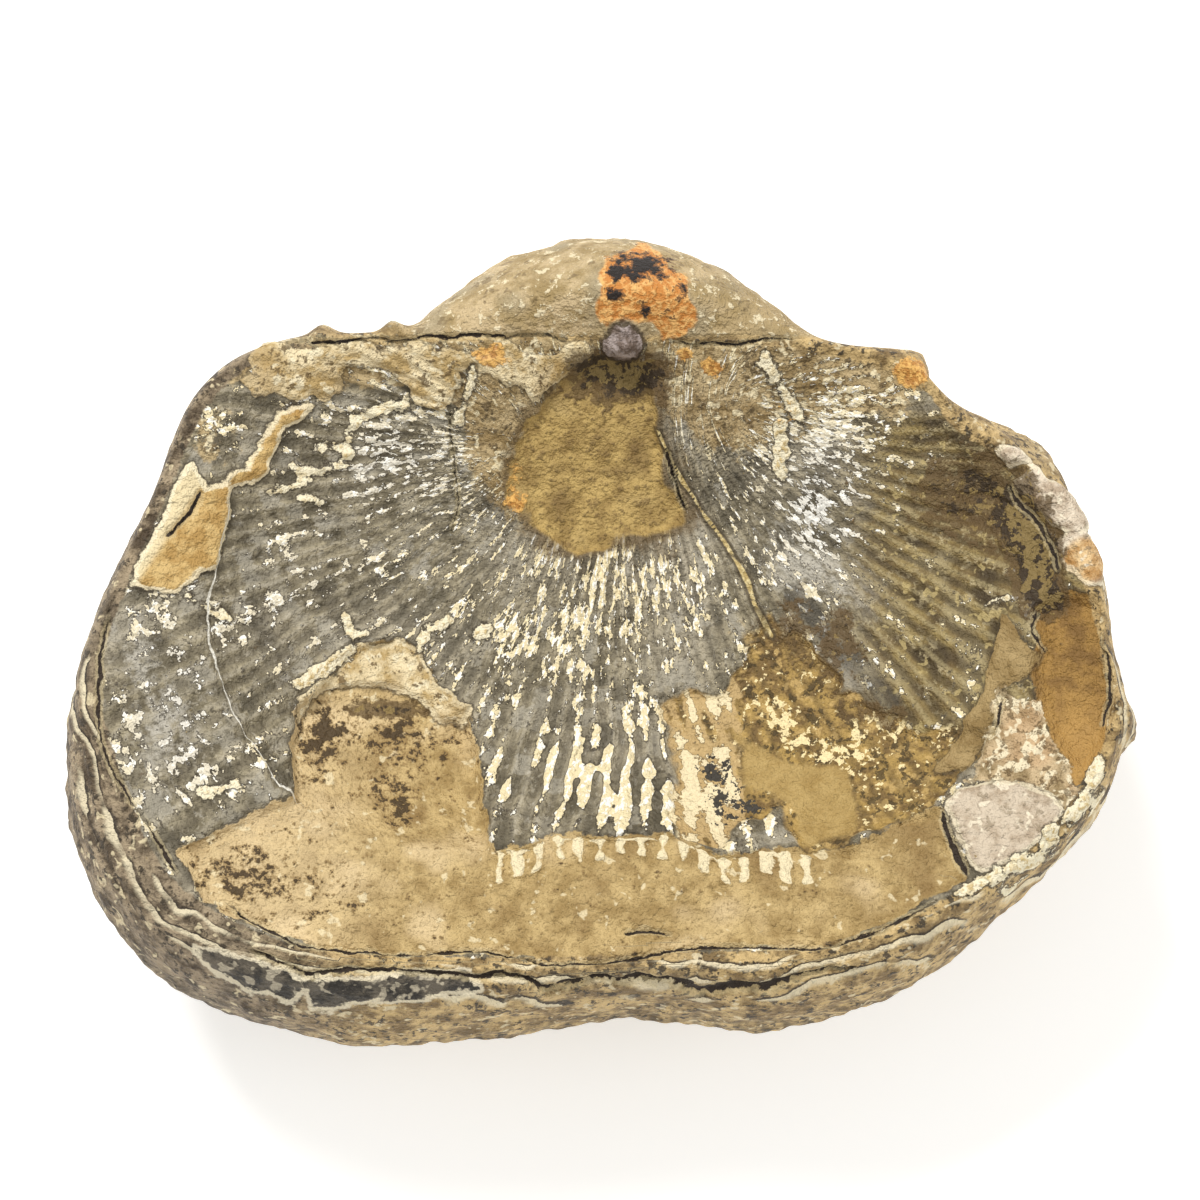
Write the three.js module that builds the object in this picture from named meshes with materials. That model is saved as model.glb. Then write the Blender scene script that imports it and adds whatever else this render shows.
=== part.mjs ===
// Brachiopod fossil: one stone piece lying on its swollen (ventral) valve with the
// hollow (dorsal) valve facing up. Millimetres, +Z up, X along the hinge, +Y to the umbo.
import * as THREE from 'three';

// Overall size of the piece
const WIDTH = 75.0;
const LENGTH = 56.8;
const HEIGHT = 29.4;

// Heights above the resting facet, before the piece is scaled to its overall size
const HOLLOW_FLOOR = 18.6;
const DISC_EDGE = 23.7;
const HINGE_HEIGHT = 26.2;
const HINGE_LIP = 0.4;
const RIM_HEIGHT = 25.4;
const FRONT_GIRTH_HEIGHT = 14.6;
const SIDE_GIRTH_HEIGHT = 19.0;
const BELLY_DROP = 0.9;

// Shape of the curves
const HOLLOW_POWER = 2.3;
const HOLLOW_RING_SPREAD = 0.8;
const RIM_SWELL_POWER = 0.7;
const BELLY_FULLNESS = 0.94;
const BELLY_HALF_WIDTH = 31.5;
const BELLY_HALF_LENGTH = 25.5;
const WRINKLE_HEIGHT = 0.25;
const WRINKLE_STEPS = 5;

// Relief on the upper side
const UMBO_RISE = 3.4;
const UMBO_HALF_WIDTH = 8.6;
const UMBO_RUN = [-0.8, 2.6];
const BEAK_RISE = 1.3;
const BEAK_HALF_SIZE = [1.6, 1.5];
const SHELL_STEP = 1.0;
const ARCH_FADE = [-15.5, -11];
const RECESS_DEPTH = 1.3;
const RECESS = [27.4, 9.0, 2.6, 4.4];
const POCKET_DEPTH = 1.2;
const POCKET = [32.4, -2.6, 1.7, 6.0];
const LAMELLA_DROP = 1.5;

// Mesh fineness
const COLUMNS = 108;
const HOLLOW_RINGS = 22;
const SHOULDER_RINGS = 7;
const BELLY_RINGS = 15;

const CENTRE = new THREE.Vector2(0, -2);
const HINGE_LINE = 20.4;
const BEAK = new THREE.Vector2(1.7, 20.6);

// Greatest outline of the swollen valve, counter-clockwise from the right
const GIRTH = [
  [37.4, -6.7], [36.4, -4.6], [35.7, -1.6], [35.2, 3.0], [33.1, 9.6], [32.1, 12.2],
  [30.2, 14.0], [27.4, 15.2], [24.6, 16.2], [23.2, 17.5], [23.1, 19.1], [22.2, 20.0],
  [16.5, 20.3], [12.2, 23.4], [7.6, 26.5], [0.6, 28.4],
  [-6.3, 27.1], [-11.2, 23.7], [-14.5, 21.2], [-22.6, 20.5], [-28.4, 16.7], [-31.6, 8.7],
  [-35.0, 1.3], [-37.2, -7.8], [-36.1, -16.3], [-31.2, -23.0], [-22.0, -27.4], [-12.1, -28.2],
  [2.5, -26.3], [11.0, -27.2], [20.7, -25.0], [27.6, -19.3], [32.2, -15.3], [34.9, -11.8], [35.9, -8.9],
];

// Edge where the two valves meet, same order
const RIM = [
  [35.4, -6.2], [34.3, 1.8], [31.4, 9.2], [25.4, 13.6], [21.4, 17.8], [11.9, 19.9],
  [0.6, 20.4], [-11.2, 20.2], [-22.0, 19.2], [-27.3, 16.0], [-30.6, 8.9], [-34.1, 0.3],
  [-35.0, -5.0], [-32.9, -11.9], [-29.4, -18.4], [-21.4, -22.6], [-10.0, -23.7],
  [3.2, -23.4], [14.0, -22.9], [23.4, -19.8], [30.6, -14.8], [34.4, -10.0],
];

// Edge of the ribbed disc inside the rim, same order
const DISC = [
  [27.7, -5.0], [27.9, 1.3], [26.6, 8.4], [23.4, 14.0], [19.3, 18.2], [10.5, 19.2],
  [0.6, 19.4], [-11.2, 19.3], [-21.0, 18.2], [-25.6, 12.6], [-27.4, 5.0], [-27.8, -1.2],
  [-25.2, -7.5], [-20.4, -12.2], [-14.0, -14.6], [-7.9, -15.2], [2.5, -14.1],
  [11.9, -15.5], [19.3, -13.7], [25.2, -10.2],
];

// Arch where the shell has broken off and the infill shows
const ARCH = [
  [-22.6, -16.0], [-21.9, -10.0], [-21.8, -6.1], [-18.9, -2.7], [-15.0, -0.8],
  [-12.4, -3.8], [-9.4, -6.8], [-8.6, -11.9], [-8.0, -18.0],
];

// Rounded closed curve through a few corners
function smoothOutline(corners) {
  const knots = corners.map(([x, y]) => new THREE.Vector3(x, y, 0));
  return new THREE.CatmullRomCurve3(knots, true, 'centripetal').getPoints(360);
}

// Distance from the centre to an outline in one direction
function radiusToward(outline, angle) {
  const ray = new THREE.Vector2(Math.cos(angle), Math.sin(angle));
  let radius = 0;
  for (let i = 0; i + 1 < outline.length; i += 1) {
    const ax = outline[i].x - CENTRE.x;
    const ay = outline[i].y - CENTRE.y;
    const bx = outline[i + 1].x - CENTRE.x;
    const by = outline[i + 1].y - CENTRE.y;
    const sideA = ray.x * ay - ray.y * ax;
    const sideB = ray.x * by - ray.y * bx;
    const ahead = ax * ray.x + ay * ray.y > 0;
    if (ahead && sideA <= 0 && sideB > 0) {
      const t = sideA / (sideA - sideB);
      radius = Math.hypot(ax + t * (bx - ax), ay + t * (by - ay));
    }
  }
  return radius;
}

// 0 at the low edge, 1 at the high edge, smooth between
function ramp(low, high, value) {
  return THREE.MathUtils.smoothstep(value, low, high);
}

// Rounded spot: 1 at its middle, fading out at its half widths
function spot(x, y, midX, midY, halfX, halfY) {
  return Math.exp(-(((x - midX) / halfX) ** 2) - (((y - midY) / halfY) ** 2));
}

// Distance into a closed outline, negative outside
function depthInside(corners, x, y) {
  let nearest = Infinity;
  let inside = false;
  for (let i = 0; i < corners.length; i += 1) {
    const [ax, ay] = corners[i];
    const [bx, by] = corners[(i + 1) % corners.length];
    const along = ((x - ax) * (bx - ax) + (y - ay) * (by - ay)) / ((bx - ax) ** 2 + (by - ay) ** 2);
    const t = THREE.MathUtils.clamp(along, 0, 1);
    nearest = Math.min(nearest, Math.hypot(x - ax - t * (bx - ax), y - ay - t * (by - ay)));
    if (ay > y !== by > y && x < ax + ((y - ay) / (by - ay)) * (bx - ax)) {
      inside = !inside;
    }
  }
  return inside ? nearest : -nearest;
}

const girthOutline = smoothOutline(GIRTH);
const rimOutline = smoothOutline(RIM);
const discOutline = smoothOutline(DISC);

// Height of the upper side at one place inside the rim
function upperHeight(x, y, radius, rimRadius, discRadius) {
  const towardHinge = ramp(4, 19, y);
  const edge = THREE.MathUtils.lerp(DISC_EDGE, HINGE_HEIGHT - HINGE_LIP, towardHinge);
  const rim = THREE.MathUtils.lerp(RIM_HEIGHT, HINGE_HEIGHT, towardHinge);
  const across = Math.min(radius / discRadius, 1);
  let height = HOLLOW_FLOOR + (edge - HOLLOW_FLOOR) * across ** HOLLOW_POWER;
  // infill band and trail between the disc and the rim
  const beyond = THREE.MathUtils.clamp((radius - discRadius) / (rimRadius - discRadius), 0, 1);
  height += (rim - edge) * beyond ** RIM_SWELL_POWER;
  // broken arch, dark recess and smooth pocket
  height -= SHELL_STEP * ramp(-0.4, 0.9, depthInside(ARCH, x, y)) * ramp(...ARCH_FADE, y);
  height -= RECESS_DEPTH * spot(x, y, ...RECESS);
  height -= POCKET_DEPTH * spot(x, y, ...POCKET);
  // umbo swelling behind the hinge, with the beak curling over it
  const acrossUmbo = Math.exp(-(((x - BEAK.x) / UMBO_HALF_WIDTH) ** 2));
  height += UMBO_RISE * acrossUmbo * ramp(...UMBO_RUN, y - HINGE_LINE);
  height += BEAK_RISE * spot(x, y, BEAK.x, BEAK.y, ...BEAK_HALF_SIZE);
  return height;
}

// One column of the piece, from the middle of the hollow over the rim and under the belly
function columnAt(angle) {
  const girthRadius = radiusToward(girthOutline, angle);
  const rimRadius = radiusToward(rimOutline, angle);
  const discRadius = radiusToward(discOutline, angle);
  const cos = Math.cos(angle);
  const sin = Math.sin(angle);
  const frontSide = ramp(0.3, 0.9, -sin);
  const girth = THREE.MathUtils.lerp(SIDE_GIRTH_HEIGHT, FRONT_GIRTH_HEIGHT, frontSide);
  const bellyRadius = 1 / Math.hypot(cos / BELLY_HALF_WIDTH, sin / BELLY_HALF_LENGTH);
  const points = [];
  for (let ring = 1; ring <= HOLLOW_RINGS; ring += 1) {
    const radius = rimRadius * (ring / HOLLOW_RINGS) ** HOLLOW_RING_SPREAD;
    const x = CENTRE.x + radius * cos;
    const y = CENTRE.y + radius * sin;
    points.push([x, y, upperHeight(x, y, radius, rimRadius, discRadius)]);
  }
  for (let ring = 1; ring <= SHOULDER_RINGS; ring += 1) {
    const t = Math.sin((Math.PI / 2) * (ring / SHOULDER_RINGS));
    const radius = rimRadius + (girthRadius - rimRadius) * t;
    const x = CENTRE.x + radius * cos;
    const y = CENTRE.y + radius * sin;
    const crest = upperHeight(x, y, radius, rimRadius, discRadius);
    const lamella = LAMELLA_DROP * frontSide * Math.sin(Math.PI * t) ** 2;
    points.push([x, y, girth + (crest - girth) * Math.sqrt(1 - t * t) - lamella]);
  }
  for (let ring = 1; ring < BELLY_RINGS; ring += 1) {
    const turn = (Math.PI / 2) * (ring / BELLY_RINGS);
    const wrinkle = WRINKLE_HEIGHT * Math.sin(turn * 4 * WRINKLE_STEPS) * Math.sin(turn * 2);
    const around = THREE.MathUtils.lerp(girthRadius, bellyRadius, ramp(0, 1, Math.sin(turn)));
    const radius = around * Math.cos(turn) ** BELLY_FULLNESS + wrinkle;
    const z = girth + (-BELLY_DROP - girth) * Math.sin(turn);
    points.push([CENTRE.x + radius * cos, CENTRE.y + radius * sin, Math.max(z, 0)]);
  }
  return points;
}

// Join the columns into one closed skin with a single point at each pole
function buildFossil() {
  const positions = [CENTRE.x, CENTRE.y, HOLLOW_FLOOR];
  const rings = HOLLOW_RINGS + SHOULDER_RINGS + BELLY_RINGS - 1;
  for (let column = 0; column < COLUMNS; column += 1) {
    columnAt((2 * Math.PI * column) / COLUMNS).forEach((point) => positions.push(...point));
  }
  const under = positions.length / 3;
  positions.push(CENTRE.x, CENTRE.y, 0);
  const triangles = [];
  for (let column = 0; column < COLUMNS; column += 1) {
    const here = 1 + column * rings;
    const next = 1 + ((column + 1) % COLUMNS) * rings;
    triangles.push(0, here, next);
    for (let ring = 0; ring + 1 < rings; ring += 1) {
      triangles.push(here + ring, here + ring + 1, next + ring + 1);
      triangles.push(here + ring, next + ring + 1, next + ring);
    }
    triangles.push(here + rings - 1, under, next + rings - 1);
  }
  const geometry = new THREE.BufferGeometry();
  geometry.setAttribute('position', new THREE.Float32BufferAttribute(positions, 3));
  geometry.setIndex(triangles);
  geometry.computeBoundingBox();
  const box = geometry.boundingBox;
  const size = box.getSize(new THREE.Vector3());
  const middle = box.getCenter(new THREE.Vector3());
  geometry.translate(-middle.x, -middle.y, -box.min.z);
  geometry.scale(WIDTH / size.x, LENGTH / size.y, HEIGHT / size.z);
  geometry.computeVertexNormals();
  return geometry;
}

const fossilStone = new THREE.MeshStandardMaterial({
  color: 0xb49d74,
  roughness: 0.85,
  metalness: 0.0,
});

const group = new THREE.Group();
group.name = 'brachiopod_fossil_part';

const fossil = new THREE.Mesh(buildFossil(), fossilStone);
fossil.name = 'brachiopod_fossil';
group.add(fossil);

export default group;
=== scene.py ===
import math

import bmesh
import bpy
import numpy as np
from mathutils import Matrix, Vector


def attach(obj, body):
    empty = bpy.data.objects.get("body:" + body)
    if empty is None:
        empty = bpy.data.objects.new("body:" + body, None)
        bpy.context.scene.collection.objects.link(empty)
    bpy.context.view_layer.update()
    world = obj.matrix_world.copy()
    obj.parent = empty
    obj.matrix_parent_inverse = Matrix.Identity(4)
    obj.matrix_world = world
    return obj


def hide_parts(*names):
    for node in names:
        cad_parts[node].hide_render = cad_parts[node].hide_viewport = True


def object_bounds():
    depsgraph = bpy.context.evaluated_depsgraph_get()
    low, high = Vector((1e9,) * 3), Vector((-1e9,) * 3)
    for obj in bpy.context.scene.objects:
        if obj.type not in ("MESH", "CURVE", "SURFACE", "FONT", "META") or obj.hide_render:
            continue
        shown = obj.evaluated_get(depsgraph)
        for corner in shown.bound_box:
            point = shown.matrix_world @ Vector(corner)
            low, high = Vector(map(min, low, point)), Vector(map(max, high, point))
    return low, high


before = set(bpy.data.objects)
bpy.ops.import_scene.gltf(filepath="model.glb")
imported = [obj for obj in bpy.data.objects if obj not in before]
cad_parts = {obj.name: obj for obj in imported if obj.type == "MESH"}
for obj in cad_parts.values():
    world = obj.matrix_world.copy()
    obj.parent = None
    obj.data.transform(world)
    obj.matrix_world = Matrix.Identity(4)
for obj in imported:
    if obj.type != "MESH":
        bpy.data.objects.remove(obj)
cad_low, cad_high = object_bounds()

# ---------------------------------------------------------------- fossil form
# The piece is one lump of stone: the two valves of a brachiopod, grown as calcite
# and filled with hardened mud. It lies on the swollen valve, hollow valve up.
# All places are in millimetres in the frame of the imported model.
MM = 0.001
CENTRE = (0.0, -2.0)
BEAK = (1.7, 19.6)
HINGE_LINE = 20.0

HOLLOW_FLOOR = 18.6
DISC_EDGE = 23.7
HINGE_HEIGHT = 26.2
RIM_HEIGHT = 25.4
FRONT_GIRTH = 14.6
SIDE_GIRTH = 19.0
BELLY_DROP = 0.9

# greatest outline of the swollen valve, counter-clockwise from the right
GIRTH = [
    (37.4, -6.7), (36.4, -4.6), (35.7, -1.6), (35.2, 3.0), (33.1, 9.6), (32.1, 12.2),
    (30.2, 14.0), (27.4, 15.2), (24.6, 16.2), (23.2, 17.5), (23.1, 19.1), (22.2, 20.0),
    (16.5, 20.3), (12.2, 23.4), (7.6, 26.5), (0.6, 28.4),
    (-6.3, 27.1), (-11.2, 23.7), (-14.5, 21.2), (-22.6, 20.5), (-28.4, 16.7), (-31.6, 8.7),
    (-35.0, 1.3), (-37.2, -7.8), (-36.1, -16.3), (-31.2, -23.0), (-22.0, -27.4), (-12.1, -28.2),
    (2.5, -26.3), (11.0, -27.2), (20.7, -25.0), (27.6, -19.3), (32.2, -15.3), (34.9, -11.8),
    (35.9, -8.9),
]
# edge where the two valves meet
RIM = [
    (35.4, -6.2), (34.3, 1.8), (31.4, 9.2), (25.4, 13.6), (21.4, 17.8), (11.9, 19.9),
    (0.6, 20.4), (-11.2, 20.2), (-22.0, 19.2), (-27.3, 16.0), (-30.6, 8.9), (-34.1, 0.3),
    (-35.0, -5.0), (-32.9, -11.9), (-29.4, -18.4), (-21.4, -22.6), (-10.0, -23.7),
    (3.2, -23.4), (14.0, -22.9), (23.4, -19.8), (30.6, -14.8), (34.4, -10.0),
]
# edge of the ribbed disc inside the rim
DISC = [
    (27.7, -5.0), (27.9, 1.3), (26.6, 8.4), (23.4, 14.0), (19.3, 18.2), (10.5, 19.2),
    (0.6, 19.4), (-11.2, 19.3), (-21.0, 18.2), (-25.6, 12.6), (-27.4, 5.0), (-27.8, -1.2),
    (-25.2, -7.5), (-20.4, -12.2), (-14.0, -14.6), (-7.9, -15.2), (2.5, -14.1),
    (11.9, -15.5), (19.3, -13.7), (25.2, -10.2),
]


def smooth_outline(corners, steps=16):
    """Rounded closed curve through a few corners."""
    p1 = np.array(corners)
    p0, p2, p3 = np.roll(p1, 1, 0), np.roll(p1, -1, 0), np.roll(p1, -2, 0)
    t = (np.arange(steps) / steps)[None, :, None]
    p0, p1, p2, p3 = (p[:, None, :] for p in (p0, p1, p2, p3))
    bend = (2 * p0 - 5 * p1 + 4 * p2 - p3) * t ** 2 + (3 * p1 - p0 - 3 * p2 + p3) * t ** 3
    return (p1 + 0.5 * ((p2 - p0) * t + bend)).reshape(-1, 2)


def radius_toward(corners, angle):
    """Distance from the centre to a closed outline, in each direction."""
    away = smooth_outline(corners) - np.array(CENTRE)
    turn = np.arctan2(away[:, 1], away[:, 0])
    return np.interp(angle, turn, np.hypot(away[:, 0], away[:, 1]), period=2 * math.pi)


def ramp(low, high, value):
    """0 at low, 1 at high, smooth between."""
    t = np.clip((value - low) / (high - low), 0, 1)
    return t * t * (3 - 2 * t)


def mix(a, b, t):
    return a + (b - a) * t


# A round ball is drawn out into the lump: its top becomes the hollow valve, a narrow
# band the shoulder outside the rim, and the rest the belly.
COLUMNS, RINGS = 620, 158
TOP_SHARE, SHOULDER_SHARE = 0.64, 0.17

ball = bmesh.new()
bmesh.ops.create_uvsphere(ball, u_segments=COLUMNS, v_segments=RINGS, radius=1.0)
shell_mesh = bpy.data.meshes.new("brachiopod")
ball.to_mesh(shell_mesh)
ball.free()

place = np.empty(len(shell_mesh.vertices) * 3)
shell_mesh.vertices.foreach_get("co", place)
place = place.reshape(-1, 3)
angle = np.arctan2(place[:, 1], place[:, 0])
down = np.arccos(np.clip(place[:, 2], -1, 1)) / math.pi

rim_r = radius_toward(RIM, angle)
girth_r = radius_toward(GIRTH, angle)
disc_r = radius_toward(DISC, angle)
front = ramp(0.3, 0.9, -np.sin(angle))
girth_z = mix(SIDE_GIRTH, FRONT_GIRTH, front)
belly_r = 1 / np.hypot(np.cos(angle) / 31.5, np.sin(angle) / 25.5)

on_top = np.clip(down / TOP_SHARE, 0, 1)
on_shoulder = np.clip((down - TOP_SHARE) / SHOULDER_SHARE, 0, 1)
on_belly = np.clip((down - TOP_SHARE - SHOULDER_SHARE) / (1 - TOP_SHARE - SHOULDER_SHARE), 0, 1)
over = np.sin(on_shoulder * math.pi / 2)
under = on_belly * math.pi / 2

radius = rim_r * on_top ** 0.85
radius = np.where(on_shoulder > 0, rim_r + (girth_r - rim_r) * over, radius)
around = mix(girth_r, belly_r, ramp(0, 1, np.sin(under)))
radius = np.where(on_belly > 0, around * np.cos(under) ** 0.94, radius)
x = CENTRE[0] + radius * np.cos(angle)
y = CENTRE[1] + radius * np.sin(angle)

to_hinge = ramp(4, 19, y)
edge_z = mix(DISC_EDGE, HINGE_HEIGHT - 0.4, to_hinge)
rim_z = mix(RIM_HEIGHT, HINGE_HEIGHT, to_hinge)
across = np.clip(radius / disc_r, 0, 1)
beyond = np.clip((radius - disc_r) / (rim_r - disc_r), 0, 1)
upper = HOLLOW_FLOOR + (edge_z - HOLLOW_FLOOR) * across ** 2.3 + (rim_z - edge_z) * beyond ** 0.7
umbo = np.exp(-((x - BEAK[0]) / 8.6) ** 2) * ramp(HINGE_LINE - 0.4, HINGE_LINE + 3.0, y)
upper = upper + 3.3 * umbo

z = girth_z + (upper - girth_z) * np.sqrt(1 - over ** 2)
z = np.where(on_belly > 0, girth_z + (-BELLY_DROP - girth_z) * np.sin(under), z)
z = np.maximum(z, 0)
seen_above = on_belly <= 0

# ---------------------------------------------------------------- mud infill
# Lime mud that filled the shell, set hard and cemented to it. It shows where the
# hollow valve has broken away: a band along the front with an arch on the left, a
# worn patch under the beak, and brown mud and a side pocket on the right.
LATTICE = 64


def grain(size, seed, along=None):
    """Smooth lumpy noise from -1 to 1, with lumps of one size."""
    measures = along or (x, y, z)
    lattice = np.random.default_rng(seed).uniform(-1, 1, (LATTICE,) * 3)
    cells = [np.floor(w / size).astype(int) for w in measures]
    parts = [w / size - c for w, c in zip(measures, cells)]
    parts = [p * p * (3 - 2 * p) for p in parts]
    total = np.zeros(len(x))
    for corner in range(8):
        pick = [(corner >> axis) & 1 for axis in range(3)]
        share = np.prod([p if k else 1 - p for p, k in zip(parts, pick)], axis=0)
        total += share * lattice[tuple((c + k) % LATTICE for c, k in zip(cells, pick))]
    return total


def trail(path):
    """Signed sideways distance from a path, and how far along it, from 0 to 1."""
    side = np.full(len(x), 1e3)
    along = np.zeros(len(x))
    mileage = np.cumsum([0] + [math.dist(a, b) for a, b in zip(path, path[1:])])
    for start, (ax, ay), (bx, by) in zip(mileage, path, path[1:]):
        run = math.dist((ax, ay), (bx, by))
        t = np.clip(((x - ax) * (bx - ax) + (y - ay) * (by - ay)) / run ** 2, 0, 1)
        away = np.hypot(x - ax - t * (bx - ax), y - ay - t * (by - ay))
        left = (bx - ax) * (y - ay) - (by - ay) * (x - ax) >= 0
        closer = away < np.abs(side)
        side = np.where(closer, np.where(left, away, -away), side)
        along = np.where(closer, (start + t * run) / mileage[-1], along)
    return side, along


def inside(corners, rag=0.0, seed=0):
    """Millimetres into a closed outline, negative outside, with a ragged edge."""
    hit = np.zeros(len(x), bool)
    for (ax, ay), (bx, by) in zip(corners, corners[1:] + corners[:1]):
        if ay != by:
            hit ^= ((ay > y) != (by > y)) & (x < ax + (y - ay) / (by - ay) * (bx - ax))
    nearest = np.abs(trail(corners + corners[:1])[0])
    depth = np.where(hit, nearest, -nearest)
    if rag:
        depth = depth + rag * grain(1.6, seed) + 0.5 * rag * grain(0.8, seed + 1)
    return np.where(seen_above, depth, -9)


def spot(mid_x, mid_y, half_x, half_y):
    """Rounded spot, 1 at its middle."""
    return np.exp(-((x - mid_x) / half_x) ** 2 - ((y - mid_y) / half_y) ** 2) * seen_above


infill = inside([
    (-28.9, -15.7), (-25.6, -14.0), (-22.6, -12.3), (-21.2, -11.8), (-21.4, -5.7), (-20.4, -4.6),
    (-18.8, -3.0), (-17.0, -0.6), (-14.0, -0.3), (-12.6, -0.9), (-11.5, -3.4), (-10.3, -4.5),
    (-9.0, -4.9), (-8.5, -7.7), (-8.1, -11.9), (-7.2, -15.6), (-3.1, -14.5), (3.5, -14.3),
    (8.3, -15.6), (17.1, -15.2), (20.6, -13.5), (23.1, -12.3), (25.0, -17.8), (20.5, -20.3),
    (16.4, -22.3), (6.8, -22.5), (0.0, -23.8), (-6.7, -22.9), (-17.7, -22.9), (-22.4, -21.3),
    (-27.1, -19.3),
], 0.3, 10)
worn_patch = inside([
    (-2.6, 17.6), (0.6, 17.7), (3.6, 17.0), (4.0, 14.4), (4.8, 11.2), (5.8, 8.1), (5.0, 7.2),
    (3.4, 7.3), (0.2, 6.7), (-2.9, 6.8), (-4.3, 7.5), (-5.4, 8.6), (-6.6, 9.8), (-6.2, 12.1),
    (-4.8, 14.6), (-3.6, 16.2),
], 0.8, 12)
side_mud = inside([
    (10.8, 2.6), (12.2, 1.9), (14.1, -0.3), (16.2, -1.2), (17.4, -4.0), (19.4, -5.1), (22.3, -7.0),
    (24.5, -6.9), (26.5, -8.1), (23.8, -10.8), (20.6, -13.5), (17.1, -15.4), (13.8, -15.6),
    (13.5, -13.3), (12.5, -12.3), (10.2, -12.3), (8.6, -14.9), (5.4, -14.6), (5.2, -9.0), (4.4, -5.0),
    (6.4, -4.0), (8.8, -4.4), (9.8, -2.0),
], 1.0, 14)
pool = inside([
    (9.5, -7.0), (13.2, -9.1), (17.3, -9.8), (17.8, -14.1), (13.8, -15.4), (13.5, -12.2),
    (10.4, -11.0),
], 0.5, 16)
strip = inside([
    (27.9, 0.9), (28.8, -1.0), (30.4, -2.1), (29.0, -4.0), (27.8, -4.5), (27.5, -6.6),
    (26.5, -8.3), (25.2, -9.7), (22.4, -10.2), (24.3, -7.9), (26.0, -5.5), (27.4, -1.8),
], 0.25, 18)
pocket = inside([
    (30.5, 2.2), (32.5, 2.3), (34.2, 1.9), (35.0, 0.2), (35.4, -2.7), (35.5, -5.4), (34.9, -8.3),
    (33.5, -10.4), (32.7, -11.4), (31.7, -9.5), (29.9, -5.3), (29.7, -2.5), (30.3, -1.0),
    (29.7, 0.4), (29.8, 1.6),
], 0.3, 20)

# ---------------------------------------------------------------- crusts and flakes
# Cream and ochre calcite, grown or cemented onto the shell: a patch at the left ear,
# a ragged crust along the hinge, a pinkish plate and knobs at the right margin, and
# thin slivers of torn shell.
ear_patch = inside([
    (-19.8, 15.7), (-20.9, 14.5), (-21.9, 14.0), (-22.5, 12.8), (-23.2, 11.0), (-24.0, 10.3),
    (-25.6, 9.6), (-25.8, 8.6), (-26.6, 4.0), (-28.0, 3.6), (-29.2, 2.3), (-30.4, 2.2),
    (-32.4, 2.6), (-31.3, 5.3), (-29.6, 9.3), (-28.2, 11.2), (-27.4, 9.4), (-25.6, 10.8),
    (-24.6, 11.1), (-24.0, 12.7), (-22.3, 15.0), (-21.3, 15.4),
], 0.25, 30)
hinge_crust = inside([
    (-23.9, 19.0), (-13.9, 19.5), (0.0, 19.3), (-0.6, 17.6), (-2.7, 17.4), (-4.2, 16.6),
    (-5.6, 17.4), (-7.7, 18.0), (-9.6, 17.6), (-10.2, 16.1), (-12.1, 15.7), (-14.0, 16.6),
    (-15.2, 18.1), (-17.3, 18.1), (-18.1, 16.9), (-20.8, 16.1), (-24.9, 16.8), (-24.5, 18.2),
], 0.8, 32)
plate = inside([
    (23.7, -12.3), (24.8, -11.2), (28.8, -10.9), (30.8, -12.0), (31.8, -13.1), (30.8, -14.7),
    (28.7, -16.2), (26.2, -17.6), (25.2, -16.6), (24.3, -14.4),
], 0.15, 34)
knobs = np.maximum(inside([
    (28.8, 9.9), (29.9, 10.9), (31.3, 10.3), (32.6, 8.8), (33.6, 6.7), (32.7, 6.2), (31.2, 6.9),
    (29.8, 8.0),
], 0.4, 36), inside([
    (31.2, 5.4), (32.4, 6.3), (33.7, 6.1), (34.5, 4.4), (34.9, 2.4), (33.8, 2.5), (32.4, 3.8),
], 0.4, 37))
knobs = np.maximum(knobs, inside([
    (26.9, 11.5), (27.8, 12.5), (29.1, 12.4), (29.6, 11.4), (28.5, 10.7),
], 0.3, 39))
right_flakes = inside([
    (27.6, -4.5), (30.0, -5.3), (31.7, -9.5), (33.0, -11.6), (31.4, -12.8), (28.8, -10.9),
    (24.8, -11.2), (25.9, -9.3), (27.5, -6.6),
], 0.5, 38)
arch_crust = inside([
    (-21.0, -4.6), (-20.0, -3.6), (-18.6, -2.8), (-17.0, -0.5), (-15.6, -0.7), (-14.0, -0.2),
    (-12.6, -0.8), (-11.4, -3.2), (-10.2, -4.5), (-9.0, -4.8), (-9.2, -6.4), (-11.0, -5.6),
    (-12.6, -4.4), (-14.2, -3.7), (-16.2, -3.4), (-18.2, -3.7), (-19.6, -4.6), (-20.8, -6.0),
], 0.35, 40)
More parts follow.
